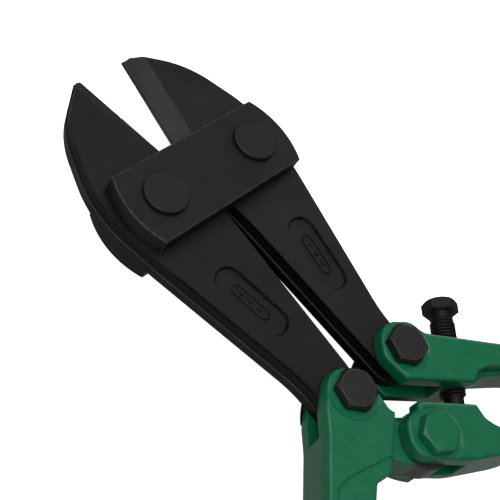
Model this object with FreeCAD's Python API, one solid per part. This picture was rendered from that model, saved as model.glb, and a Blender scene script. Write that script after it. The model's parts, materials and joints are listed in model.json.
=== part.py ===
import FreeCAD, Part
import math
import os

# Centre-cut bolt cutters, 24 inch size, in millimetres, standing open and lying flat.
# +Y runs to the jaw tips, +X to the right-hand jaw, +Z up from the table.
# The origin is on the centre pivot's axis, on the surface that the tool lies on.
# Pieces are drawn about the jaws' middle plane and lifted by MIDDLE_Z when they are written.

# ---------------------------------------------------------------- driving dimensions
MIDDLE_Z = 18.0            # height of the jaws' middle plane above the table

PIN_X, PIN_Y = 27.25, 140.6    # jaw pins, in the side plates
TAIL_X, TAIL_Y = 17.8, 34.1    # tail bolts, where each jaw meets its handle
JAW_CLOSING = 10.8             # degrees that each jaw turns from open to closed
HANDLE_CLOSING = 44.0          # degrees that each handle turns from open to closed
EDGE_GAP = 0.15                # from the closed cutting edge to the middle line

JAW_HALF = 5.65            # half of the jaw's thickness
JAW_DRAFT = 0.8            # how far the forging's parting line stands out
PLATE_IN = 5.75            # side plates, from the middle plane
PLATE_OUT = 14.5
EAR_IN = 5.85              # clevis ears of the handles, from the middle plane
EAR_OUT = 13.0
RUN_FIT = 0.05             # radial play of a pin in its hole

PIN_R = 6.0                # jaw pins
PIN_HEAD_R, PIN_HEAD_H = 9.75, 2.2
PIN_NUT_AF = 19.0
BOLT_R = 5.0               # tail bolts and centre bolt
BOLT_HEAD_H = 4.0
HEX_AF, NUT_AF = 16.0, 17.0    # across flats of their heads and nuts
TAIL_NUT_H = 4.0
SEAT_R, SEAT_DEPTH = 12.0, 0.5     # round seats sunk in the forgings under heads and nuts

SCREW_R, SCREW_AF, SCREW_HEAD_H = 5.5, 14.0, 5.5
SCREW_NECK_R, SCREW_NECK_LEN = 5.0, 3.4
SCREW_POINT_R, SCREW_POINT_LEN = 4.3, 7.0
SCREW_TILT = 4.1           # degrees, from square to the forging's arm
SCREW_FOOT = (21.5, 15.25)     # where its tip meets the pad, along and across the arm
SCREW_LEN = 46.9           # under its head
SCREW_HEAD_TURN = 4.5      # degrees, about its own axis
PAD_GAP = 0.1              # from the screw's tip to its pad

ARM_ANGLE = 38.0           # handle forgings, below the X axis when open
TUBE_BEND = 8.5            # degrees that each tube turns in from its forging
TUBE_MOUTH = (92.0, 31.0)      # start of the tube, along and across the arm
TUBE_R, TUBE_WALL = 12.5, 2.0
TUBE_LEN = 328.0
TANG_LEN = 42.0
RIVET_AT = 22.0            # rivet, from the tube's mouth
RIVET_R, RIVET_HEAD_R, RIVET_HEAD_H = 3.0, 5.5, 2.2

GRIP_R, GRIP_LEN, GRIP_END = 16.5, 140.0, 6.0
GRIP_FLANGE_R = MIDDLE_Z
GRIP_FLANGE_LEN = 9.0
GRIP_END_ROUND, FLANGE_ROUND = 3.0, 2.5

BEYOND = 40.0              # how far cutters and slots run past the piece that they cut
OVERCUT = 1.0              # how far holes run past a face
SMALL_CHAMFER = 0.5        # on the ends of pins, bolts and the screw
HEX_CHAMFER = 0.3          # how far inside the flats a head's cone starts


# ---------------------------------------------------------------- drawing helpers
def at(point, z=0.0):
    """A plane point (x, y) at height z."""
    return FreeCAD.Vector(point[0], point[1], z)


UP = at((0, 0), 1)


def turned(point, degrees, centre=(0.0, 0.0)):
    """A plane point turned about a centre, anticlockwise seen from above."""
    angle = math.radians(degrees)
    x, y = point[0] - centre[0], point[1] - centre[1]
    return (centre[0] + x * math.cos(angle) - y * math.sin(angle),
            centre[1] + x * math.sin(angle) + y * math.cos(angle))


def inset_corners(corners, amount):
    """Anticlockwise corners (x, y, radius) with every side moved in by an amount."""
    moved = []
    count = len(corners)
    for i in range(count):
        before, here, after = (at(corners[(i + k) % count]) for k in (-1, 0, 1))
        into = (here - before).normalize()
        away = (after - here).normalize()
        side_in = at((-into.y, into.x)) * amount
        side_out = at((-away.y, away.x)) * amount
        turn = into.x * away.y - into.y * away.x
        along = ((side_out - side_in).x * away.y - (side_out - side_in).y * away.x) / turn
        point = here + side_in + into * along
        radius = corners[i][2] - math.copysign(amount, turn)
        moved.append((point.x, point.y, max(radius, 0.2)))
    return moved


def outline(corners, inset=0.0, z=0.0):
    """A closed wire through anticlockwise corners (x, y, radius), each one rounded."""
    if inset:
        corners = inset_corners(corners, inset)
    count = len(corners)
    arcs = []
    for i in range(count):
        before, here, after = (at(corners[(i + k) % count], z) for k in (-1, 0, 1))
        back = (before - here).normalize()
        ahead = (after - here).normalize()
        half = back.getAngle(ahead) / 2
        reach = corners[i][2] / math.tan(half)
        middle = (back + ahead).normalize() * (corners[i][2] / math.sin(half) - corners[i][2])
        arcs.append((here + back * reach, here + middle, here + ahead * reach))
    edges = []
    for i in range(count):
        edges.append(Part.Arc(*arcs[i]).toShape())
        start, end = arcs[i][2], arcs[(i + 1) % count][0]
        if start.distanceToPoint(end) > 1e-4:
            edges.append(Part.LineSegment(start, end).toShape())
    return Part.Wire(edges)


def slab(wire, low, high):
    """A flat piece with the given outline, from height low to high."""
    lifted = wire.copy()
    lifted.translate(UP * low)
    return Part.Face(lifted).extrude(UP * (high - low))


def forging(corners, levels):
    """A forged blank: at each height, the outline moved in by that level's inset."""
    return Part.makeLoft([outline(corners, inset, z) for z, inset in levels], True, True)


def disc(radius, low, high, centre=(0.0, 0.0)):
    return Part.makeCylinder(radius, high - low, at(centre, low))


def hexagon(across_flats, low, high, centre=(0.0, 0.0), turn=0.0):
    """A hexagonal prism whose upper corners are taken off by a 30 degree cone."""
    corner = across_flats / math.sqrt(3.0)
    points = [at(turned((corner, 0.0), turn + 60.0 * k)) for k in range(6)]
    prism = slab(Part.makePolygon(points + points[:1]), low, high)
    height = high - low
    flat = across_flats / 2 - HEX_CHAMFER
    cone = Part.makeCone(flat + height * math.sqrt(3.0), flat, height, UP * low)
    prism = prism.common(cone)
    prism.translate(at(centre))
    return prism


def flipped(shape):
    """The same piece on the underside."""
    return shape.mirror(at((0, 0)), UP)


def left_hand(shape):
    """The same piece for the left-hand side."""
    return shape.mirror(at((0, 0)), at((1, 0)))


def edges_at_height(shape, height):
    """Edges that lie flat at a height."""
    return [e for e in shape.Edges
            if abs(e.BoundBox.ZMin - height) < 0.01 and abs(e.BoundBox.ZMax - height) < 0.01]


# ---------------------------------------------------------------- side plates and jaw pins
PLATE_HALF_W, PLATE_HALF_H = 41.6, 17.05
PLATE_BULGE = 4.0
PLATE_CHAMFER = 0.4
PIN_HEAD_ROUND = 0.7
PIN_NUT_TURN = 12.0        # degrees


def side_plate():
    """The front one of the two plates that hold the jaws: bulging ends, straight sides."""
    w, h = PLATE_HALF_W, PLATE_HALF_H
    sides = [((w, PIN_Y + h), (-w, PIN_Y + h)), ((-w, PIN_Y - h), (w, PIN_Y - h))]
    edges = [Part.LineSegment(at(a), at(b)).toShape() for a, b in sides]
    for k in (-1, 1):
        edges.append(Part.Arc(at((k * w, PIN_Y + h)), at((k * (w + PLATE_BULGE), PIN_Y)),
                              at((k * w, PIN_Y - h))).toShape())
    plate = slab(Part.Wire(Part.__sortEdges__(edges)), PLATE_IN, PLATE_OUT)
    plate = plate.makeChamfer(PLATE_CHAMFER, edges_at_height(plate, PLATE_OUT))
    for x in (-PIN_X, PIN_X):
        plate = plate.cut(disc(PIN_R, PLATE_IN - OVERCUT, PLATE_OUT + OVERCUT, (x, PIN_Y)))
    return plate


def jaw_pin():
    """The right-hand round pin, with a low flat head above and its end flush below."""
    centre = (PIN_X, PIN_Y)
    shank = disc(PIN_R, -MIDDLE_Z, PLATE_OUT, centre)
    shank = shank.makeChamfer(SMALL_CHAMFER, edges_at_height(shank, -MIDDLE_Z))
    head = disc(PIN_HEAD_R, PLATE_OUT, PLATE_OUT + PIN_HEAD_H, centre)
    head = head.makeFillet(PIN_HEAD_ROUND, edges_at_height(head, PLATE_OUT + PIN_HEAD_H))
    return shank.fuse(head).removeSplitter()


def jaw_pin_nut():
    nut = hexagon(PIN_NUT_AF, PLATE_OUT, MIDDLE_Z, (PIN_X, PIN_Y), PIN_NUT_TURN)
    return flipped(nut.cut(disc(PIN_R, 0, MIDDLE_Z + OVERCUT, (PIN_X, PIN_Y))))


# ---------------------------------------------------------------- jaws
# The right-hand jaw, open, at its parting line. The left-hand one is drawn on the right as well.
HEEL = turned((EDGE_GAP, PIN_Y + 1.0), -JAW_CLOSING, (PIN_X, PIN_Y))
EDGE_TIP = turned((EDGE_GAP, PIN_Y + 61.0), -JAW_CLOSING, (PIN_X, PIN_Y))
BEVEL_WIDTH = 8.6
BEVEL_LAND = 0.25          # half of the blunt edge's width
TAIL_END_R = 10.3
OVAL_CENTRE, OVAL_TILT = (21.6, 87.2), -10.0
OVAL_R, OVAL_HALF = 6.7, 11.5
OVAL_DEPTH, OVAL_SLOPE = 1.0, 0.7      # its walls come in by this share of the depth
JAW_ROUND = 0.15           # on the edges of the jaw's faces
FLASH_HALF, FLASH_RISE = 0.35, 0.4     # the ridge that the forging dies leave at their parting line
TIP_END = [(15.8, 205.6, 0.6), EDGE_TIP + (0.25,)]
TAIL_END = [(TAIL_X - TAIL_END_R, TAIL_Y - TAIL_END_R, TAIL_END_R - 0.4),
            (TAIL_X + TAIL_END_R, TAIL_Y - TAIL_END_R, TAIL_END_R - 0.4)]
RIGHT_JAW = ([HEEL + (3.0,), (3.8, 112.0, 60.0), (6.8, TAIL_Y, 30.0)] + TAIL_END +
             [(27.6, 50.0, 60.0), (44.2, 119.5, 40.0), (51.2, 152.0, 60.0), (36.5, 189.6, 45.0)] + TIP_END)
# the left-hand one's shank is broader on its inner side
LEFT_JAW = ([HEEL + (3.0,), (1.6, 112.0, 60.0), (4.9, 44.0, 30.0)] + TAIL_END +
            [(28.4, 50.0, 60.0), (44.4, 119.5, 40.0), (50.5, 152.0, 60.0), (35.7, 189.4, 45.0)] + TIP_END)
WEDGE_OUT = 12.0           # how far a bevel's cutter reaches past the edge
WEDGE_END = 75.0           # and past the tip


def bevel(start, end):
    """A wedge that slopes the jaw's upper face down to the cutting edge."""
    length = math.dist(start, end)
    angle = math.degrees(math.atan2(end[1] - start[1], end[0] - start[0]))
    top = JAW_HALF + OVERCUT
    run = BEVEL_WIDTH * (top - BEVEL_LAND) / (JAW_HALF - BEVEL_LAND)
    low, high = at((0, WEDGE_OUT), BEVEL_LAND), at((0, WEDGE_OUT), top)
    section = Part.makePolygon([low, at((0, 0), BEVEL_LAND), at((0, -run), top), high, low])
    wedge = Part.Face(section).extrude(at((length, 0)))
    wedge.rotate(at((0, 0)), UP, angle)
    wedge.translate(at(start))
    return wedge


def jaw(corners):
    """A cutting jaw on the right: drafted body, edge bevels, two holes, oval recess."""
    slope = [(FLASH_HALF, 0.0), (FLASH_HALF + FLASH_RISE / 2, FLASH_RISE),
             (JAW_HALF - JAW_ROUND, JAW_DRAFT), (JAW_HALF, JAW_DRAFT + JAW_ROUND)]
    body = forging(corners, [(-z, inset) for z, inset in reversed(slope)] + slope)
    beyond = turned((EDGE_GAP, PIN_Y + WEDGE_END), -JAW_CLOSING, (PIN_X, PIN_Y))
    wedge = bevel(HEEL, beyond)
    for cutter in (wedge, flipped(wedge)):
        body = body.cut(cutter)
    for radius, centre in ((PIN_R, (PIN_X, PIN_Y)), (BOLT_R, (TAIL_X, TAIL_Y))):
        body = body.cut(disc(radius + RUN_FIT, -JAW_HALF - OVERCUT, JAW_HALF + OVERCUT, centre))
    return body.cut(oval_recess())


def oval_recess():
    """An oval with sloping walls."""
    reach = OVAL_HALF + OVAL_R
    corners = [(x, y, OVAL_R - 0.01) for x, y in ((-OVAL_R, -reach), (OVAL_R, -reach),
                                                  (OVAL_R, reach), (-OVAL_R, reach))]
    recess = forging(corners, [(JAW_HALF - OVAL_DEPTH, OVAL_DEPTH * OVAL_SLOPE),
                               (JAW_HALF + OVERCUT, -OVERCUT * OVAL_SLOPE)])
    recess.rotate(at((0, 0)), UP, OVAL_TILT)
    recess.translate(at(OVAL_CENTRE))
    return recess


# ---------------------------------------------------------------- handle forgings
# Drawn in an arm's own frame: the centre pivot at the origin, +X out along the arm,
# +Y towards the arm's outer edge. place_arm() turns it into the right-hand position.
TAIL = turned((TAIL_X, TAIL_Y), ARM_ANGLE)
FRONT_ROUND, BACK_ROUND = 1.8, 3.2     # rounding of the forged edges
SLOT_FLOOR = 13.0          # floor of the clevis that holds the jaw's tail
CLEVIS_FLOOR = 16.5        # floor of the centre clevis, in the right-hand forging
TONGUE_HALF = 5.6          # half thickness of the tongue, in the left-hand forging
TONGUE_R = 11.4
SHOULDER = 19.4            # where the tongue leaves the full-thickness arm
BORE_FROM = 4.0            # the screw's hole starts this far above the pad
PIVOT_FIT = 0.35           # radial play of the centre bolt in the tongue
PATH_STEPS = 12            # places of the centre bolt in the tongue, from open to closed
COLLAR_R, COLLAR_LEN = 13.0, 14.0
COLLAR_CHAMFER, TANG_CHAMFER = 1.0, 1.5
FORGED_END = TUBE_MOUTH[0] - 8.0   # the flat-sided part ends here, inside the collar

MOUTH_LOW = turned((FORGED_END, TUBE_MOUTH[1] - COLLAR_R), -TUBE_BEND, TUBE_MOUTH)
MOUTH_HIGH = turned((FORGED_END, TUBE_MOUTH[1] + COLLAR_R), -TUBE_BEND, TUBE_MOUTH)

# lower arm, tube end, upper finger with the jaw's ear, slit between them, screw pad
RIGHT_CORNERS = [(-12.7, -9.8, 9.0), (16.0, -9.6, 40.0), (46.0, -3.8, 60.0), (66.0, 6.0, 60.0),
                 MOUTH_LOW + (2.0,), MOUTH_HIGH + (2.0,), (60.0, 43.6, 60.0), (4.0, 45.6, 8.0),
                 (-1.0, 50.2, 6.0), (TAIL[0] - 10.2, 49.0, 10.0), (TAIL[0] - 10.4, 33.0, 6.5),
                 (-8.0, 23.7, 1.5), (25.5, 24.8, 4.0), (36.0, 30.6, 12.0), (66.0, 35.0, 7.0),
                 (61.0, 19.0, 8.0), (37.5, 2.6, 14.0), (26.6, 9.0, 4.0), (23.4, 14.9, 1.4),
                 (-5.6, 14.4, 1.0), (-6.2, 11.0, 2.5), (-12.7, 6.6, 7.0)]

# tongue with its round end, nose, inner edge, tube end, outer edge, the jaw's ear, neck
LEFT_CORNERS = [(-TONGUE_R, -TONGUE_R, TONGUE_R - 0.1), (TONGUE_R, -TONGUE_R, TONGUE_R - 0.1),
                (12.4, 18.8, 6.0), (21.6, 18.6, 3.5), (27.0, 24.6, 5.0), (62.0, 24.5, 60.0),
                MOUTH_LOW + (2.0,), MOUTH_HIGH + (2.0,), (58.0, 44.4, 50.0), (13.0, 48.0, 25.0),
                (3.0, 49.9, 12.0), (TAIL[0] - 10.9, 49.6, 10.2), (TAIL[0] - 9.9, 32.0, 9.0),
                (-5.0, 21.0, 4.0), (-5.0, 12.6, 2.0), (-TONGUE_R, 9.0, 9.0)]

# slots, open to the left: each one's outline
RIGHT_EAR_SLOT = ((-BEYOND, 19.0), (SLOT_FLOOR, 19.0), (SLOT_FLOOR, 60.0), (-BEYOND, 60.0))
CLEVIS_SLOT = ((-BEYOND, -30.0), (CLEVIS_FLOOR, -30.0), (CLEVIS_FLOOR, 17.0), (-BEYOND, 17.0))
LEFT_EAR_SLOT = ((-BEYOND, 17.0), (-14.0, 24.2), (SLOT_FLOOR, 25.6), (SLOT_FLOOR, 70.0), (-BEYOND, 70.0))
# what is taken off in front of the tongue and behind it
BESIDE_TONGUE = ((-BEYOND, -20.0), (18.0, -20.0), (18.0, SHOULDER), (-BEYOND, SHOULDER))
# hollow beside the finger's web, open to the slit
POCKET_CORNERS = [(24.0, 20.0, 0.5), (60.0, 26.0, 0.5), (60.0, 35.0, 0.5), (34.3, 32.6, 8.0),
                  (28.0, 30.0, 2.5), (25.6, 26.4, 2.0)]
WEB_HALF = 6.5
# shallow panel forged into the front of the left-hand arm, below a slanting crease
PANEL_CORNERS = [(14.4, 10.0, 0.5), (72.0, 10.0, 0.5), (72.0, 41.5, 8.0), (34.0, 41.5, 6.0),
                 (28.5, 37.4, 6.0), (13.5, 18.2, 0.5)]
PANEL_DEPTH = 0.6
# the left-hand arm's section: height from the middle plane, and how far its sides are in
LEFT_FRONT = [(8.0, 0.0), (11.6, 0.5), (12.6, 0.9), (EAR_OUT, 1.4)]
LEFT_BACK = [(10.0, 1.6), (12.2, 2.6), (EAR_OUT, 4.0)]


def quarter_round(face, radius):
    """Heights and insets that round an edge below a face, from the side wall up."""
    return [(face - radius * (1 - math.sin(math.radians(a))), radius * (1 - math.cos(math.radians(a))))
            for a in (0, 22, 45, 67, 90)]


def arm_blank(corners, back, front):
    """A forged arm of full thickness, with its tube collar and tang."""
    blank = forging(corners, [(-z, inset) for z, inset in reversed(back)] + front)
    collar = disc(COLLAR_R, -COLLAR_LEN, 0)
    collar = collar.makeChamfer(COLLAR_CHAMFER, edges_at_height(collar, 0))
    tang = disc(TUBE_R - TUBE_WALL, 0, TANG_LEN)
    tang = tang.makeChamfer(TANG_CHAMFER, edges_at_height(tang, TANG_LEN))
    return blank.fuse([along_tube(collar), along_tube(tang)])


def along_tube(shape):
    """Lay a shape drawn up the Z axis along the tube, from the tube's mouth."""
    shape.rotate(at((0, 0)), at((0, 1)), 90)
    shape.rotate(at((0, 0)), UP, -TUBE_BEND)
    shape.translate(at(TUBE_MOUTH))
    return shape


def place_arm(shape):
    shape.rotate(at((0, 0)), UP, -ARM_ANGLE)
    return shape


def polygon(points):
    return Part.makePolygon([at(p) for p in points + points[:1]])


def rivet_hole():
    hole = disc(RIVET_R, -BEYOND, BEYOND).rotated(at((0, 0)), at((0, 1)), -90)
    return along_tube(hole.translated(UP * RIVET_AT))


def bolt_seats(centre):
    """A through bolt's hole with a round sloping seat at each end."""
    deep, high = EAR_OUT - SEAT_DEPTH, EAR_OUT + OVERCUT
    seat = Part.makeCone(SEAT_R - SEAT_DEPTH, SEAT_R + OVERCUT, high - deep, at(centre, deep))
    return disc(BOLT_R, -high, high, centre).fuse([seat, flipped(seat)])


def right_arm():
    """The right-hand forging: jaw ear on a springy finger, centre clevis and screw pad."""
    arm = arm_blank(RIGHT_CORNERS, quarter_round(EAR_OUT, BACK_ROUND), quarter_round(EAR_OUT, FRONT_ROUND))
    for points in (RIGHT_EAR_SLOT, CLEVIS_SLOT):
        arm = arm.cut(slab(polygon(points), -EAR_IN, EAR_IN))
    pocket = slab(outline(POCKET_CORNERS), WEB_HALF, EAR_OUT + OVERCUT)
    for cutter in (pocket, flipped(pocket), bolt_seats(TAIL), bolt_seats((0.0, 0.0))):
        arm = arm.cut(cutter)
    bore = along_screw(disc(SCREW_R + RUN_FIT, BORE_FROM, BORE_FROM + 2 * BEYOND))
    return place_arm(arm.cut(bore).cut(rivet_hole()))


def pivot_path(share):
    """The centre bolt's offset in the left-hand forging, at a share of the closing."""
    jaw_turn, arm_turn = JAW_CLOSING * share, HANDLE_CLOSING * share
    tail = turned((TAIL_X, TAIL_Y), jaw_turn, (PIN_X, PIN_Y))
    pivot_x = tail[0] + turned((-TAIL_X, -TAIL_Y), -arm_turn)[0]
    return turned((-2 * pivot_x, 0.0), arm_turn + ARM_ANGLE)


def left_arm():
    """The left-hand forging: jaw ear, and a tongue that enters the centre clevis."""
    arm = arm_blank(LEFT_CORNERS, LEFT_BACK, LEFT_FRONT)
    tongue = slab(outline(LEFT_CORNERS), -TONGUE_HALF, TONGUE_HALF)
    arm = arm.fuse(tongue.common(disc(SHOULDER, -TONGUE_HALF, TONGUE_HALF)))
    arm = arm.cut(slab(polygon(LEFT_EAR_SLOT), -EAR_IN, EAR_IN))
    beside = slab(polygon(BESIDE_TONGUE), TONGUE_HALF, EAR_OUT + OVERCUT)
    panel = slab(outline(PANEL_CORNERS), EAR_OUT - PANEL_DEPTH, EAR_OUT + OVERCUT)
    for cutter in (beside, flipped(beside), bolt_seats(TAIL), panel):
        arm = arm.cut(cutter)
    for k in range(PATH_STEPS + 1):
        arm = arm.cut(disc(BOLT_R + PIVOT_FIT, -BEYOND, BEYOND, pivot_path(k / PATH_STEPS)))
    return left_hand(place_arm(arm.cut(rivet_hole())))


# ---------------------------------------------------------------- bolts and adjusting screw
def hex_bolt(centre, length, turn):
    """A low-headed bolt through both ears, its end flush with its nut."""
    shank = disc(BOLT_R, -length, EAR_OUT, centre)
    shank = shank.makeChamfer(SMALL_CHAMFER, edges_at_height(shank, -length))
    head = hexagon(HEX_AF, EAR_OUT - SEAT_DEPTH, EAR_OUT + BOLT_HEAD_H, centre, turn)
    return shank.fuse(head).removeSplitter()


def hex_nut(centre, depth, turn):
    nut = hexagon(NUT_AF, EAR_OUT - SEAT_DEPTH, depth, centre, turn)
    return flipped(nut.cut(disc(BOLT_R, 0, depth + OVERCUT, centre)))


def along_screw(shape):
    """Stand a shape drawn up the Z axis on the screw's pad, up the screw's axis."""
    shape.rotate(at((0, 0)), at((1, 0)), -90)
    shape.rotate(at((0, 0)), UP, -SCREW_TILT)
    shape.translate(at(SCREW_FOOT))
    return shape


def adjusting_screw():
    """The hex-headed screw that spreads the finger from the lower arm."""
    thread_low, thread_high = PAD_GAP + SCREW_POINT_LEN, SCREW_LEN - SCREW_NECK_LEN
    point = disc(SCREW_POINT_R, PAD_GAP, thread_low)
    point = point.makeChamfer(SMALL_CHAMFER, edges_at_height(point, PAD_GAP))
    rest = [disc(SCREW_R, thread_low, thread_high), disc(SCREW_NECK_R, thread_high, SCREW_LEN),
            hexagon(SCREW_AF, SCREW_LEN, SCREW_LEN + SCREW_HEAD_H, turn=SCREW_HEAD_TURN)]
    return place_arm(along_screw(point.fuse(rest).removeSplitter()))


# ---------------------------------------------------------------- tubes, rivets and grips
def tube():
    """A steel handle tube, pushed over the forging's tang."""
    bore = disc(TUBE_R - TUBE_WALL, -OVERCUT, TUBE_LEN + OVERCUT)
    wall = disc(TUBE_R, 0, TUBE_LEN).cut(bore)
    return place_arm(along_tube(wall).cut(rivet_hole()))


def rivet():
    """The cross rivet that holds a tube to its tang, a low dome at each end."""
    shank = disc(RIVET_R, -TUBE_R, TUBE_R)
    ball = (RIVET_HEAD_R ** 2 + RIVET_HEAD_H ** 2) / (2 * RIVET_HEAD_H)
    dome = Part.makeSphere(ball, UP * (TUBE_R + RIVET_HEAD_H - ball))
    dome = dome.common(disc(RIVET_HEAD_R, 0, BEYOND))
    dome = dome.cut(Part.makeCylinder(TUBE_R, 2 * BEYOND, at((-BEYOND, 0)), at((1, 0))))
    return shank.fuse([dome, flipped(dome)])


def place_rivet(shape):
    centre = turned((TUBE_MOUTH[0] + RIVET_AT, TUBE_MOUTH[1]), -TUBE_BEND, TUBE_MOUTH)
    shape.rotate(at((0, 0)), UP, -TUBE_BEND)
    shape.translate(at(centre))
    return place_arm(shape)


def grip():
    """A rubber grip over the tube's end, closed behind, with a flange in front."""
    low = TUBE_LEN - GRIP_LEN
    high = TUBE_LEN + GRIP_END
    sleeve = disc(GRIP_R, low, high)
    sleeve = sleeve.makeFillet(GRIP_END_ROUND, edges_at_height(sleeve, high))
    flange = disc(GRIP_FLANGE_R, low, low + GRIP_FLANGE_LEN)
    flange = flange.makeFillet(FLANGE_ROUND, edges_at_height(flange, low) +
                               edges_at_height(flange, low + GRIP_FLANGE_LEN))
    return place_arm(along_tube(sleeve.fuse(flange).cut(disc(TUBE_R, low - OVERCUT, TUBE_LEN))))


# ---------------------------------------------------------------- the whole tool
def pieces():
    """Every piece by name, in its place about the middle plane."""
    tail = (TAIL_X, TAIL_Y)
    tail_end = EAR_OUT + TAIL_NUT_H
    right = {"jaw": jaw(RIGHT_JAW), "jaw_pin": jaw_pin(), "jaw_pin_nut": jaw_pin_nut(),
             "tail_bolt": hex_bolt(tail, tail_end, 15.0), "tail_nut": hex_nut(tail, tail_end, 20.0),
             "tube": tube(), "tube_rivet": place_rivet(rivet()), "grip": grip()}
    tool = {"right_" + name: shape for name, shape in right.items()}
    tool.update({"left_" + name: left_hand(shape) for name, shape in right.items()})
    tool["left_jaw"] = left_hand(jaw(LEFT_JAW))
    tool["left_tail_bolt"] = hex_bolt((-TAIL_X, TAIL_Y), tail_end, 17.0)
    tool["right_arm"] = right_arm()
    tool["left_arm"] = left_arm()
    tool["front_plate"] = side_plate()
    tool["back_plate"] = flipped(side_plate())
    tool["centre_bolt"] = hex_bolt((0.0, 0.0), MIDDLE_Z, 30.0)
    tool["centre_nut"] = hex_nut((0.0, 0.0), MIDDLE_Z, 10.0)
    tool["adjusting_screw"] = adjusting_screw()
    return tool


def main():
    os.makedirs("parts", exist_ok=True)
    for name, shape in pieces().items():
        shape.translate(UP * MIDDLE_Z)
        shape.exportStep("parts/%s.step" % name)
        box = shape.BoundBox
        print("%-16s solids %d valid %s volume %9.0f  x %7.1f %7.1f  y %7.1f %7.1f  z %5.2f %5.2f" % (
            name, len(shape.Solids), shape.isValid(), shape.Volume,
            box.XMin, box.XMax, box.YMin, box.YMax, box.ZMin, box.ZMax))


if __name__ == "__main__":
    main()
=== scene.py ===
import json
import math
import bmesh
import bpy
from mathutils import Matrix, Quaternion, Vector


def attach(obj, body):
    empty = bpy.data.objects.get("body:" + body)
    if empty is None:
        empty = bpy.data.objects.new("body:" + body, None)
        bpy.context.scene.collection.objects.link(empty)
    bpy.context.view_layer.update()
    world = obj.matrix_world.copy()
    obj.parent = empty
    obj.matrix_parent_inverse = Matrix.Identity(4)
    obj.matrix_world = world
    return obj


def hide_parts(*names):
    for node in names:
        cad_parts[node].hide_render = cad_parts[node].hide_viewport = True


# The looks of a pair of bolt cutters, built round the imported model. Metres, in the model's frame.
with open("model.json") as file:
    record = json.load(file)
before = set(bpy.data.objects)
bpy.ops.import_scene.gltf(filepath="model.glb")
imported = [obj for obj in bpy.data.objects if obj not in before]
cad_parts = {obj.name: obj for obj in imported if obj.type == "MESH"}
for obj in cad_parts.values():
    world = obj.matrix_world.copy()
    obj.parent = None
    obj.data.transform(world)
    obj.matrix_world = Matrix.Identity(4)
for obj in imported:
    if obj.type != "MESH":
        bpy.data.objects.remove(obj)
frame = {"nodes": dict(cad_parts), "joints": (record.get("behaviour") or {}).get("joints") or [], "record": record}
NODES = frame["nodes"]
JOINTS = {joint["name"]: joint for joint in frame["joints"]}
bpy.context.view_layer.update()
MM = 0.001
UP = Vector((0, 0, 1))

# ---------------------------------------------------------------- camera, in degrees and metres
AIM = Vector((-0.00084, 0.10554, 0.018))
AZIMUTH, ELEVATION, ROLL = -78.36, 50.117, 40.55
DISTANCE, NEAREST = 0.45914, 0.01
LENS, SENSOR = 79.55, 36.0

# ---------------------------------------------------------------- the tool's own sizes
MIDDLE_Z = 18 * MM             # the jaws' middle plane
JAW_FACE_Z = MIDDLE_Z + 5.65 * MM
CENTRE_AT = (0.0, 0.0)         # the centre bolt's axis
TAIL_AT = (17.8 * MM, 34.1 * MM)   # the right-hand tail bolt's axis
HEAD_RIM_R = 7.55 * MM         # the rim of a tail bolt's flat top
HEAD_RIM_Z = 16.4 * MM         # just under that rim, from the middle plane
PLATES_REACH = 120 * MM        # just short of the side plates, from the centre bolt
TONGUE_REACH = 13.4 * MM       # how far from the centre bolt the tongue's paint is rubbed
TONGUE_HALF = 5.8 * MM         # just over half the tongue's thickness
OVAL_AT = Vector((21.6 * MM, 87.2 * MM, JAW_FACE_Z - 1.0 * MM))   # the floor of the jaw's oval recess
OVAL_TURN = math.radians(-10)
OVAL_LOW = 4.3 * MM            # just under that floor, from the middle plane


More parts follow.
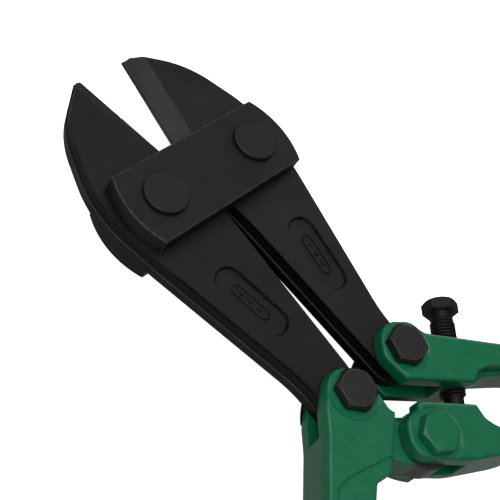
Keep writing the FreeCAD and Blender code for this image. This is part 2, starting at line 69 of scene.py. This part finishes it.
# ---------------------------------------------------------------- materials
class Shader:
    """A node material in the making: one Principled shader and what feeds it."""

    def __init__(self, name, roughness, **settings):
        self.material = bpy.data.materials.new(name)
        self.material.use_nodes = True
        self.tree = self.material.node_tree
        self.surface = self.tree.nodes["Principled BSDF"]
        self.surface.inputs["Roughness"].default_value = roughness
        for key, value in settings.items():
            self.surface.inputs[key.replace("_", " ")].default_value = value
        self.place = self.node("ShaderNodeTexCoord").outputs["Object"]

    def node(self, kind, *links, **settings):
        made = self.tree.nodes.new(kind)
        for key, value in settings.items():
            setattr(made, key, value)
        for socket, value in links:
            self.feed(made.inputs[socket], value)
        return made

    def feed(self, socket, value):
        if isinstance(value, bpy.types.NodeSocket):
            self.tree.links.new(value, socket)
        else:
            socket.default_value = value

    def math(self, operation, *values, clamp=False):
        made = self.node("ShaderNodeMath", operation=operation, use_clamp=clamp)
        for socket, value in zip(made.inputs, values):
            self.feed(socket, value)
        return made.outputs[0]

    def times(self, first, second, clamp=False):
        return self.math("MULTIPLY", first, second, clamp=clamp)

    def vector(self, operation, first, second=None):
        """A vector sum whose answer is the node's first output, or its second for a single number."""
        links = [(0, first)] if second is None else [(0, first), (1, second)]
        return self.node("ShaderNodeVectorMath", *links, operation=operation).outputs

    def noise(self, size, detail=3.0, rough=0.5, stretch=None):
        """Noise from 0 to 1 whose lumps are about a size in metres."""
        place = self.place
        if stretch:
            place = self.node("ShaderNodeMapping", ("Vector", place), ("Scale", stretch)).outputs[0]
        settings = ("Vector", place), ("Scale", 1 / size), ("Detail", detail), ("Roughness", rough)
        return self.node("ShaderNodeTexNoise", *settings).outputs[0]

    def ramp(self, value, low, high, bottom=0.0, top=1.0):
        """A value's stretch from low to high, drawn out from bottom to top."""
        return self.node("ShaderNodeMapRange", ("Value", value), ("From Min", low), ("From Max", high),
                         ("To Min", bottom), ("To Max", top)).outputs[0]

    def mix(self, share, first, second):
        """A blend of two colours, by the sockets that the colour form of the node uses."""
        return self.node("ShaderNodeMix", (0, share), (6, first), (7, second), data_type="RGBA").outputs[2]

    def edges(self, radius, slight=0.995, sharp=0.80):
        """How far a face turns within a radius: 0 on flats, up to 1 along sharp edges."""
        turn = self.vector("DOT_PRODUCT", self.softened(radius), self.normal())["Value"]
        return self.ramp(turn, slight, sharp)

    def reach(self, centre):
        """The distance from an upright axis."""
        flat = self.vector("MULTIPLY", self.place, (1.0, 1.0, 0.0))["Vector"]
        away = self.vector("SUBTRACT", flat, (centre[0], centre[1], 0.0))["Vector"]
        return self.vector("LENGTH", away)["Value"]

    def off_middle(self):
        """The distance from the jaws' middle plane."""
        return self.math("ABSOLUTE", self.math("SUBTRACT", self.axes(self.place)["Z"], MIDDLE_Z))

    def facing_left(self, radius):
        """1 where a face, softened over a radius, leans to the left-hand side."""
        return self.ramp(self.axes(self.softened(radius))["X"], -0.10, -0.30)

    def up_share(self):
        """How flat a face lies: 1 on level faces, 0 on upright ones."""
        return self.math("ABSOLUTE", self.axes(self.normal())["Z"])

    def axes(self, value):
        return self.node("ShaderNodeSeparateXYZ", (0, value)).outputs

    def normal(self):
        return self.node("ShaderNodeNewGeometry").outputs["Normal"]

    def softened(self, radius):
        """The normal as it would be with edges rounded to a radius."""
        return self.node("ShaderNodeBevel", ("Radius", radius), samples=6).outputs[0]

    def relief(self, rounding, *layers):
        """Bump layers (height, strength, depth) over edges that are rounded off."""
        normal = self.softened(rounding)
        for height, strength, depth in layers:
            settings = ("Height", height), ("Strength", strength), ("Distance", depth), ("Normal", normal)
            normal = self.node("ShaderNodeBump", *settings).outputs[0]
        self.feed(self.surface.inputs["Normal"], normal)

    def colour(self, value):
        self.feed(self.surface.inputs["Base Color"], value)

    def dull(self, value):
        """Where the sheen is killed, partly as painted shade: a dark metal throws back only its own dark colour.
        """
        self.feed(self.surface.inputs["Metallic"], value)

    def roughness(self, value):
        self.feed(self.surface.inputs["Roughness"], value)


def grey(level, warmth=0.0):
    """A grey whose red is raised by twice its warmth."""
    return (level * (1 + 2 * warmth), level, level, 1.0)


WORN_STEEL = (0.32, 0.295, 0.28, 1)
RUST = (0.035, 0.020, 0.013, 1)
BROWN_RIM = (0.055, 0.036, 0.028, 1)
PAINT_DEEP, PAINT_FULL = (0.0022, 0.118, 0.050, 1), (0.0036, 0.146, 0.064, 1)
PAINT_EDGE_PALER, PRIMER = (0.012, 0.16, 0.085, 1), (0.06, 0.05, 0.045, 1)


def blackened_skin(s, level):
    """The mottling and grain of a blackened surface, and its colour."""
    patches = s.ramp(s.noise(16 * MM, 5, 0.62), 0.35, 0.65)
    grain = s.ramp(s.noise(0.35 * MM, 2), 0.3, 0.7)
    skin = s.mix(patches, grey(level * 0.75, 0.12), grey(level * 1.25, 0.05))
    skin = s.mix(s.times(grain, 0.35), skin, grey(level * 2.0, 0.04))
    specks = s.ramp(s.noise(0.9 * MM, 5, 0.8), 0.66, 0.74, 0.0, 0.5)
    return patches, grain, s.mix(specks, skin, RUST)


def rubbed(s, radius, wear):
    """Broken lines of bare steel along the sharp edges."""
    gaps = s.ramp(s.noise(1.4 * MM, 5, 0.8), 0.42, 0.58, 0.2, 1.0)
    return s.times(s.times(s.edges(radius), gaps, clamp=True), wear)


def black_oxide(name, level, sheen=0.4, wear=0.5):
    """Blackened steel: mottled matt skin, fine grain, and edges rubbed bright."""
    s = Shader(name, 0.5, Specular_IOR_Level=sheen)
    patches, grain, skin = blackened_skin(s, level)
    s.colour(s.mix(rubbed(s, 0.35 * MM, wear), skin, WORN_STEEL))
    s.roughness(s.ramp(patches, 0.0, 1.0, 0.40, 0.56))
    s.relief(0.25 * MM, (s.noise(7 * MM, 3), 0.3, 0.3 * MM), (grain, 0.35, 0.07 * MM))
    return s.material


def tail_bolt(name, side):
    """A bolt whose head was faced on a lathe: fine rings, a brown rim on its chamfer, and painted shade darkening
    that chamfer.
    """
    s = Shader(name, 0.5, Specular_IOR_Level=0.42)
    patches, grain, skin = blackened_skin(s, 0.006)
    reach = s.reach((side * TAIL_AT[0], TAIL_AT[1]))
    ring = s.node("ShaderNodeCombineXYZ", ("X", reach)).outputs[0]
    settings = ("Vector", ring), ("Scale", 1 / (0.9 * MM)), ("Detail", 3.0)
    lathe = s.node("ShaderNodeTexNoise", *settings).outputs[0]
    off_rim = s.math("ABSOLUTE", s.math("SUBTRACT", reach, HEAD_RIM_R))
    on_top = s.ramp(s.off_middle(), HEAD_RIM_Z - 0.1 * MM, HEAD_RIM_Z + 0.1 * MM)
    rim = s.times(s.ramp(off_rim, 0.40 * MM, 0.12 * MM), on_top)
    rim = s.times(rim, s.ramp(s.noise(1.6 * MM, 4, 0.7), 0.38, 0.62, 0.1, 0.75), clamp=True)
    skin = s.mix(rim, skin, BROWN_RIM)
    tilt = s.up_share()
    # Painted shade: the chamfer round the head's top is darkened.
    chamfer = s.times(s.ramp(tilt, 0.80, 0.84), s.ramp(tilt, 0.93, 0.89))
    s.dull(s.times(chamfer, 0.5, clamp=True))
    s.colour(s.mix(rubbed(s, 0.25 * MM, 0.6), skin, WORN_STEEL))
    s.roughness(s.ramp(lathe, 0.3, 0.7, 0.40, 0.54))
    s.relief(0.25 * MM, (lathe, 0.35, 0.15 * MM), (s.noise(5 * MM, 3), 0.3, 0.3 * MM),
             (grain, 0.35, 0.07 * MM))
    return s.material


def jaw_steel(name, sheen):
    """Blackened forged steel: rough walls darkened in part as painted shade, a bright parting ridge with painted
    shade in the creases beside it, ground cutting bevels, and painted shade on one side of the oval recess.
    """
    s = Shader(name, 0.5, Specular_IOR_Level=sheen)
    patches, grain, skin = blackened_skin(s, 0.005)
    tilt, off_middle = s.up_share(), s.off_middle()
    ground = s.times(s.ramp(tilt, 0.80, 0.82), s.ramp(tilt, 0.90, 0.88), clamp=True)
    wall = s.ramp(tilt, 0.78, 0.60)
    scale = s.noise(1.2 * MM, 5, 0.75)
    # Darker patches on the upright walls and on the oval recess's sloping walls: partly painted shade, where these
    # walls lie in shade.
    skin = s.mix(s.times(wall, scale, clamp=True), skin, grey(0.0012, 0.05))
    bare = bare_spots(s, tilt, off_middle)
    # Painted shade in the creases beside the parting ridge.
    ridge_crease_shade = s.times(s.ramp(off_middle, 0.33 * MM, 0.37 * MM),
                  s.ramp(off_middle, 0.80 * MM, 0.65 * MM, 0.0, 0.6))
    crease_shade_and_dark_walls = s.math("MAXIMUM", ridge_crease_shade, s.times(wall, s.ramp(scale, 0.50, 0.68, 0.0, 0.25)))
    dark = s.math("MAXIMUM", dark_edges_and_recess_shade(s, tilt, off_middle, ground), crease_shade_and_dark_walls)
    s.dull(s.times(dark, s.math("SUBTRACT", 0.85, bare), clamp=True))
    s.colour(s.mix(bare, s.mix(ground, skin, ground_steel(s)), WORN_STEEL))
    s.roughness(s.ramp(patches, 0.0, 1.0, 0.40, 0.54))
    s.relief(0.12 * MM, (s.noise(9 * MM, 3), 0.3, 0.3 * MM), (s.times(wall, scale), 0.6, 0.35 * MM),
             (grain, 0.3, 0.06 * MM))
    return s.material


def ground_steel(s):
    """The cutting bevels' colour, streaked by the grinding wheel."""
    streaks = s.ramp(s.noise(2.2 * MM, 3, 0.6, (0.35, 1.0, 1.0)), 0.35, 0.65)
    return s.mix(streaks, grey(0.003, -0.03), grey(0.009, -0.05))


def bare_spots(s, tilt, off_middle):
    """Where a jaw's walls are rubbed bright: the parting ridge, and sparkles along edges."""
    ridge = s.times(s.ramp(off_middle, 0.34 * MM, 0.24 * MM),
                    s.ramp(s.noise(1.4 * MM, 5, 0.8), 0.40, 0.60, 0.05, 0.35), clamp=True)
    sparkle = s.times(s.edges(0.2 * MM), s.ramp(s.noise(0.8 * MM, 5, 0.85), 0.58, 0.68), clamp=True)
    return s.times(s.math("MAXIMUM", ridge, s.times(sparkle, 0.6)), s.ramp(tilt, 0.99, 0.9))


def dark_edges_and_recess_shade(s, tilt, off_middle, ground):
    """Darkening along a jaw's edges, and painted shade on the left-leaning side of its oval recess."""
    rim = s.times(s.edges(0.8 * MM, 0.97, 0.84), s.ramp(tilt, 0.999, 0.95, 0.35, 1.0))
    # Painted shade: the left-leaning side of the oval recess is darkened.
    oval = s.times(s.ramp(off_middle, OVAL_LOW - 0.1 * MM, OVAL_LOW + 0.1 * MM), s.facing_left(1.1 * MM))
    below_plates = s.ramp(s.reach(CENTRE_AT), PLATES_REACH + 2 * MM, PLATES_REACH - 2 * MM)
    both = s.math("MAXIMUM", rim, s.times(oval, below_plates))
    broken = s.times(both, s.ramp(s.noise(0.9 * MM, 5, 0.8), 0.36, 0.52))
    return s.times(broken, s.math("SUBTRACT", 1.0, ground))


def green_paint(name, bare_tongue=False):
    """Thick semi-gloss paint over a forging: orange peel, soft edges, a few chips."""
    s = Shader(name, 0.3, Specular_IOR_Level=0.40)
    patches = s.ramp(s.noise(6 * MM, 6, 0.72), 0.3, 0.7)
    peel = s.noise(1.0 * MM, 3, 0.6)
    # A paler green along the edges.
    paint = s.mix(s.times(s.edges(0.8 * MM), 0.15), s.mix(patches, PAINT_DEEP, PAINT_FULL), PAINT_EDGE_PALER)
    chips = s.times(s.edges(0.4 * MM), s.ramp(s.noise(1.3 * MM, 5, 0.75), 0.66, 0.70), clamp=True)
    worn = s.mix(chips, paint, PRIMER)
    if bare_tongue:
        marks = s.ramp(s.noise(0.8 * MM, 4, 0.7, (1, 1, 6)), 0.35, 0.7)
        worn = s.mix(tongue_mask(s), worn, s.mix(marks, grey(0.006, 0.12), grey(0.05, 0.14)))
    s.colour(worn)
    s.roughness(s.ramp(patches, 0.0, 1.0, 0.24, 0.36))
    s.relief(1.4 * MM, (s.noise(9 * MM, 2), 0.4, 0.6 * MM), (peel, 0.3, 0.14 * MM))
    return s.material


def tongue_mask(s):
    """1 on the tongue's rim, where the clevis rubs its paint off, and 0 elsewhere."""
    ragged = s.times(s.noise(1.6 * MM, 5, 0.7), 2.4 * MM)
    along_arm = s.times(s.axes(s.place)["Y"], 0.16)
    reach = s.math("ADD", s.math("ADD", s.reach(CENTRE_AT), ragged), along_arm)
    near = s.ramp(reach, TONGUE_REACH + 0.2 * MM, TONGUE_REACH - 0.2 * MM)
    return s.times(near, s.ramp(s.off_middle(), TONGUE_HALF + 0.1 * MM, TONGUE_HALF - 0.1 * MM), clamp=True)


def rubber():
    """Matt black rubber with a fine moulded grain."""
    s = Shader("rubber", 0.62)
    grain = s.noise(0.5 * MM, 3, 0.6)
    dust = s.ramp(s.noise(9 * MM, 4, 0.6), 0.4, 0.75)
    s.colour(s.mix(dust, grey(0.012), grey(0.019)))
    s.roughness(s.ramp(dust, 0.0, 1.0, 0.58, 0.72))
    s.relief(0.4 * MM, (grain, 0.3, 0.08 * MM))
    return s.material


# ---------------------------------------------------------------- mesh helpers
SHARP_ANGLE = math.radians(35)


def add(name, data):
    """A new object in the scene."""
    made = bpy.data.objects.new(name, data)
    bpy.context.scene.collection.objects.link(made)
    return made


def mesh_object(bm, name, material):
    """An object from a mesh in the making."""
    mesh = bpy.data.meshes.new(name)
    bm.to_mesh(mesh)
    bm.free()
    mesh.materials.append(material)
    return add(name, mesh)


def finish_piece(bm, name, body, material):
    """Turn a mesh in the making into a shaded piece that rides on a body."""
    bmesh.ops.recalc_face_normals(bm, faces=bm.faces)
    piece = mesh_object(bm, name, material)
    piece.data.shade_smooth()
    piece.data.set_sharp_from_angle(angle=SHARP_ANGLE)
    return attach(piece, body)


def join_rows(bm, low, high):
    """Faces between two closed rows of points."""
    for k in range(len(low)):
        n = (k + 1) % len(low)
        bm.faces.new((low[k], low[n], high[n], high[k]))


def turned_skin(bm, rings, columns):
    """Faces through rings of points: ring(angle) gives (radius, height) round the Z axis."""
    grid = []
    for ring in rings:
        row = []
        for k in range(columns):
            angle = 2 * math.pi * k / columns
            radius, height = ring(angle)
            row.append(bm.verts.new((radius * math.cos(angle), radius * math.sin(angle), height)))
        grid.append(row)
    for low, high in zip(grid, grid[1:]):
        join_rows(bm, low, high)
    return grid


def along(node, axis):
    """The frame that stands a shape drawn up Z on a node's axis, and the node's length."""
    axis = Vector(axis).normalized()
    side = axis.cross(UP).normalized()
    points = [v.co for v in NODES[node].data.vertices]
    spans = [(min(p.dot(d) for p in points), max(p.dot(d) for p in points)) for d in (axis, side, UP)]
    start = axis * spans[0][0] + side * sum(spans[1]) / 2 + UP * sum(spans[2]) / 2
    turn = Matrix((side, axis.cross(side), axis)).transposed().to_4x4()
    return Matrix.Translation(start) @ turn, spans[0][1] - spans[0][0]


def hex_radius(angle, across_flats):
    """How far a hexagon's side is from its middle, in one direction."""
    sector = math.pi / 3
    return across_flats / 2 / math.cos((angle + sector / 2) % sector - sector / 2)


# ---------------------------------------------------------------- adjusting screw
THREAD_PITCH = 1.5 * MM
THREAD_R, THREAD_ROOT_R = 5.5 * MM, 4.55 * MM
THREAD_STEPS = 10              # rings to one turn of the thread
THREAD_FLANK, THREAD_TOP = 3.2, 1.45   # the flanks' slope, and how high they would meet
NECK_R, NECK_LEN = 5.0 * MM, 3.4 * MM
HEAD_AF, HEAD_LEN = 14.0 * MM, 5.5 * MM
POINT_R, POINT_LEN = 4.3 * MM, 7.0 * MM
SCREW_COLUMNS = 96


def adjusting_screw(material):
    """The screw with a true helical thread, a plain neck and a chamfered hex head."""
    place, length = along("adjusting_screw", JOINTS["adjusting_screw_travel"]["axis"])
    bm = bmesh.new()
    neck_top = length - HEAD_LEN
    neck_low = neck_top - NECK_LEN
    rings = [plain_ring(0.4 * MM, 0), plain_ring(POINT_R - 0.6 * MM, 0), plain_ring(POINT_R, 0.5 * MM),
             plain_ring(POINT_R, POINT_LEN)]
    step = THREAD_PITCH / THREAD_STEPS
    rows = round((neck_low - POINT_LEN) / step)
    rings += [thread_ring(POINT_LEN + step * k, POINT_LEN, neck_low) for k in range(1, rows)]
    rings += [plain_ring(NECK_R, neck_low + 0.3 * MM), plain_ring(NECK_R, neck_top - 0.4 * MM),
              plain_ring(NECK_R + 0.5 * MM, neck_top)]
    rings += head_rings(neck_top, length)
    grid = turned_skin(bm, rings, SCREW_COLUMNS)
    bm.faces.new(grid[0][::-1])
    bm.faces.new(grid[-1])
    bm.transform(place)
    screw = finish_piece(bm, "screw_threaded", "adjusting_screw", material)
    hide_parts("adjusting_screw")


def plain_ring(radius, height):
    """A round ring."""
    return lambda angle: (radius, height)


def thread_ring(height, low, high):
    """A ring through a 60 degree thread that fades out at both ends."""
    fade = max(0.0, min(1.0, (height - low) / (0.3 * THREAD_PITCH), (high - height) / THREAD_PITCH))

    def ring(angle):
        phase = (height / THREAD_PITCH - angle / (2 * math.pi)) % 1
        rise = min(1.0, max(0.0, THREAD_TOP - abs(phase - 0.5) * THREAD_FLANK))
        return THREAD_ROOT_R + (THREAD_R - THREAD_ROOT_R) * rise * fade, height
    return ring


def head_rings(low, high):
    """A washer face, a hexagon whose upper corners are taken off by a cone, and a dished top."""
    flat = HEAD_AF / 2 - 0.2 * MM
    slope = math.tan(math.radians(30))

    def cone(angle):
        return hex_radius(angle, HEAD_AF), high - (hex_radius(angle, HEAD_AF) - flat) * slope
    return [plain_ring(flat - 0.4 * MM, low), plain_ring(flat - 0.4 * MM, low + 0.3 * MM),
            lambda angle: (hex_radius(angle, HEAD_AF), low + 0.35 * MM), cone, plain_ring(flat, high),
            plain_ring(flat - 1.6 * MM, high), plain_ring(flat - 2.4 * MM, high - 0.25 * MM),
            plain_ring(0.5 * MM, high - 0.35 * MM)]


# ---------------------------------------------------------------- grips
GRIP_R, GRIP_BORE_R = 16.5 * MM, 12.5 * MM
FLANGE_R, FLANGE_LEN, FLANGE_ROUND = 18 * MM, 9 * MM, 1.8 * MM
DOME = 5 * MM                  # radius of the closed end's edge
BORE_STOP = 8 * MM             # from the bore's floor to the closed end
GROOVES = (16 * MM, 21 * MM, 26 * MM)      # ring grooves, from the flange's end
END_GROOVES = (16 * MM, 21 * MM)           # ring grooves, from the closed end
GROOVE_DEEP, GROOVE_WIDE = 0.9 * MM, 1.1 * MM
FLUTES, FLUTE_DEEP, FLUTE_FADE = 24, 0.8 * MM, 4 * MM
FLUTES_FROM, FLUTES_STOP = 34 * MM, 30 * MM    # where the flutes end, from each end of the grip
GRIP_COLUMNS = 144


def grip(side, material):
    """A moulded grip: flange, ring grooves, long flutes and a domed end."""
    node = side + "_grip"
    axis = [m for m in frame["record"]["mounts"] if m["name"] == node + "_end"][0]["axis"]
    place, length = along(node, axis)
    bm = bmesh.new()
    rings = [plain_ring(GRIP_BORE_R, 0.0)]
    rings += [rounded(FLANGE_R, FLANGE_ROUND, 0.0, 1, share) for share in (0.0, 0.3, 0.65, 1.0)]
    rings += [rounded(FLANGE_R, FLANGE_ROUND, FLANGE_LEN, -1, share) for share in (1.0, 0.65, 0.3, 0.0)]
    steps = round((length - FLANGE_LEN - DOME) / MM)
    rings += [grip_ring(FLANGE_LEN + k * MM, length) for k in range(steps + 1)]
    rings += [rounded(GRIP_R, DOME, length, -1, share) for share in (0.85, 0.6, 0.35, 0.12, 0.0)]
    rings += [plain_ring(3 * MM, length), plain_ring(2.4 * MM, length - 1.5 * MM)]
    bore = [plain_ring(GRIP_BORE_R, 0.0), plain_ring(GRIP_BORE_R, length - BORE_STOP)]
    for skin in (rings, bore):
        bm.faces.new(turned_skin(bm, skin, GRIP_COLUMNS)[-1])
    bmesh.ops.remove_doubles(bm, verts=bm.verts, dist=1e-6)
    bm.transform(place)
    piece = finish_piece(bm, side + "_grip_moulded", side + "_handle", material)
    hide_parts(node)


def rounded(radius, size, end, sign, share):
    """A ring on a rounded edge: share 0 on the end face, 1 on the side."""
    angle = math.pi / 2 * share
    return plain_ring(radius - size + size * math.sin(angle), end + sign * size * (1 - math.cos(angle)))


def grip_ring(height, length):
    """The grip's hand zone: three ring grooves, then flutes that fade at both ends."""
    places = GROOVES + tuple(length - g for g in END_GROOVES)
    groove = max(math.exp(-((height - place) / GROOVE_WIDE) ** 2) for place in places)
    high = length - FLUTES_STOP
    fade = max(0.0, min(1.0, (height - FLUTES_FROM) / FLUTE_FADE, (high - height) / FLUTE_FADE))

    def ring(angle):
        flute = max(0.0, math.cos(FLUTES * angle)) ** 0.7
        return GRIP_R - GROOVE_DEEP * groove - FLUTE_DEEP * flute * fade, height
    return ring


# ---------------------------------------------------------------- generic marks on the jaws
MARK_RISE = 0.75 * MM
MARK_ROOT = -0.1 * MM          # how far a mark reaches into the recess's floor
LOOP_R, LOOP_HOLE_R, LOOP_HALF = 3.0 * MM, 2.0 * MM, 7.0 * MM
STUD_R, STUD_STEP = 0.95 * MM, 4.8 * MM
MARK_COLUMNS = 32


def jaw_mark(side, material):
    """A raised loop with three studs inside it, standing in a jaw's oval recess."""
    bm = bmesh.new()
    tread(bm, 0.0, LOOP_R, LOOP_HOLE_R, LOOP_HALF)
    for k in (-1, 0, 1):
        tread(bm, k * STUD_STEP, STUD_R)
    sign = 1 if side == "right" else -1
    bm.transform(Matrix.Translation((OVAL_AT.x * sign, OVAL_AT.y, OVAL_AT.z))
                 @ Matrix.Rotation(OVAL_TURN * sign, 4, "Z"))
    finish_piece(bm, side + "_jaw_mark", side + "_jaw", material)


def tread(bm, along_mark, outer, inner=0.0, half_long=0.0):
    """A raised stud, or a long loop when it has a hole, with sloping sides."""
    rims = [(outer, MARK_ROOT), (outer - 0.12 * MM, MARK_RISE * 0.75), (outer - 0.3 * MM, MARK_RISE)]
    if inner:
        rims += [(inner + 0.3 * MM, MARK_RISE), (inner + 0.12 * MM, MARK_RISE * 0.75), (inner, MARK_ROOT)]
    rows = []
    for radius, height in rims:
        row = []
        for k in range(MARK_COLUMNS):
            angle = 2 * math.pi * (k + 0.5) / MARK_COLUMNS
            shift = along_mark + math.copysign(half_long, math.sin(angle))
            row.append(bm.verts.new((radius * math.cos(angle), radius * math.sin(angle) + shift, height)))
        rows.append(row)
    for low, high in zip(rows, rows[1:] + rows[:1] if inner else rows[1:]):
        join_rows(bm, low, high)
    if not inner:
        bm.faces.new(rows[0][::-1])
        bm.faces.new(rows[-1])


# ---------------------------------------------------------------- CAD nodes' materials
PAINTED = ("right_arm", "centre_bolt", "centre_nut")


def nodes_materials():
    """The CAD nodes' materials, by node name or by how the name ends."""
    nuts = black_oxide("black_nut", 0.006, 0.5, 0.7)
    paint = green_paint("green_paint")
    materials = {"plate": black_oxide("black_plate", 0.005, 0.27, 1.6),
                 "jaw_pin": black_oxide("black_pin", 0.006, 0.28, 0.5),
                 "nut": nuts,
                 "tube": paint,
                 "rivet": paint,
                 "left_jaw": jaw_steel("left_jaw_steel", 0.24),
                 "right_jaw": jaw_steel("right_jaw_steel", 0.29),
                 "left_tail_bolt": tail_bolt("black_left_bolt", -1),
                 "right_tail_bolt": tail_bolt("black_right_bolt", 1),
                 "left_arm": green_paint("green_tongue", True)}
    materials.update({name: paint for name in PAINTED})
    return materials


def dress(materials):
    """Give every CAD node that stays its material: that of the longest key that its name ends with."""
    for name, node in NODES.items():
        keys = [key for key in materials if name.endswith(key)]
        for slot in node.material_slots:
            if keys:
                slot.material = materials[max(keys, key=len)]


# ---------------------------------------------------------------- studio
# how bright the room is, from straight down (-1) to straight up (1)
SKY = ((-1.0, 0.28), (-0.45, 0.28), (-0.15, 0.15), (0.30, 0.11), (0.80, 0.26))
WARMTH = 0.04
# softboxes: name, place, side in metres, watts
SOFTBOXES = (("key", (-0.35, 0.40, 1.66), 2.2, 32),
             ("side", (-1.5, -0.7, 0.35), 1.0, 4),
             ("spark", (1.3, 0.38, 0.34), 0.25, 1.2))
FLOOR_HALF = 6.0
SHADE_Z = 0.5 * MM
SHADE_CORNERS = ((-26, 8), (26, 8), (40, 150), (20, 190), (-20, 190), (-34, 150))     # in mm


def studio():
    """A pale floor that sends no light back up, a dim room and a large softbox overhead."""
    bm = bmesh.new()
    bmesh.ops.create_grid(bm, x_segments=1, y_segments=1, size=FLOOR_HALF)
    pale = Shader("floor", 0.9, Emission_Strength=1.0, Emission_Color=(1, 1, 1, 1))
    pale.colour((0.95, 0.95, 0.95, 1))
    floor = mesh_object(bm, "floor", pale.material)
    floor.visible_diffuse = False
    floor.visible_glossy = False
    shade()
    room()
    for name, place, size, power in SOFTBOXES:
        softbox(name, Vector(place), size, power)


def shade():
    """A dark card under the jaws, unseen by the camera, as the tool's own shadow would be."""
    bm = bmesh.new()
    bm.faces.new([bm.verts.new((x * MM, y * MM, SHADE_Z)) for x, y in SHADE_CORNERS])
    dark = Shader("shade", 1.0, Specular_IOR_Level=0.0, Base_Color=(0.01, 0.01, 0.01, 1))
    card = mesh_object(bm, "shade", dark.material)
    card.visible_camera = False


def room():
    """Surroundings: bright below, where the white table is, dim at the tool's level, lighter above."""
    world = bpy.data.worlds.new("room")
    world.use_nodes = True
    tree = world.node_tree
    sky = tree.nodes.new("ShaderNodeTexCoord").outputs["Generated"]
    parts = tree.nodes.new("ShaderNodeSeparateXYZ")
    tree.links.new(sky, parts.inputs[0])
    ramp = tree.nodes.new("ShaderNodeValToRGB")
    share = tree.nodes.new("ShaderNodeMapRange")
    share.inputs["From Min"].default_value = -1.0
    tree.links.new(parts.outputs["Z"], share.inputs["Value"])
    tree.links.new(share.outputs[0], ramp.inputs[0])
    stops = ramp.color_ramp.elements
    stops.remove(stops[1])
    stops[0].position = 0.0
    stops[0].color = grey(SKY[0][1], WARMTH)
    for height, level in SKY[1:]:
        stops.new((height + 1) / 2).color = grey(level, WARMTH)
    tree.links.new(ramp.outputs[0], tree.nodes["Background"].inputs["Color"])
    bpy.context.scene.world = world


def softbox(name, place, size, power):
    """A square area light turned to the tool's head."""
    light = bpy.data.lights.new(name, "AREA")
    light.size = size
    light.energy = power
    lamp = add(name, light)
    lamp.location = place
    lamp.rotation_mode = "QUATERNION"
    lamp.rotation_quaternion = (AIM - place).to_track_quat("-Z", "Y")


def camera():
    """The camera, aimed at the tool's head and rolled about its own line of sight."""
    turn, lift = math.radians(AZIMUTH), math.radians(ELEVATION)
    back = Vector((math.sin(turn) * math.cos(lift), -math.cos(turn) * math.cos(lift), math.sin(lift)))
    data = bpy.data.cameras.new("camera")
    data.lens, data.sensor_width = LENS, SENSOR
    data.clip_start = NEAREST
    seat = add("camera", data)
    seat.location = AIM + back * DISTANCE
    seat.rotation_mode = "QUATERNION"
    roll = Quaternion((0, 0, 1), math.radians(ROLL))
    seat.rotation_quaternion = (-back).to_track_quat("-Z", "Y") @ roll
    bpy.context.scene.camera = seat


def main():
    dress(nodes_materials())
    adjusting_screw(black_oxide("black_screw", 0.003, 0.22, 0.2))
    mark = black_oxide("black_mark", 0.004, 0.27, 0.0)
    soft = rubber()
    for side in ("left", "right"):
        grip(side, soft)
        jaw_mark(side, mark)
    studio()
    camera()
    bpy.context.scene.view_settings.view_transform = "Standard"


main()
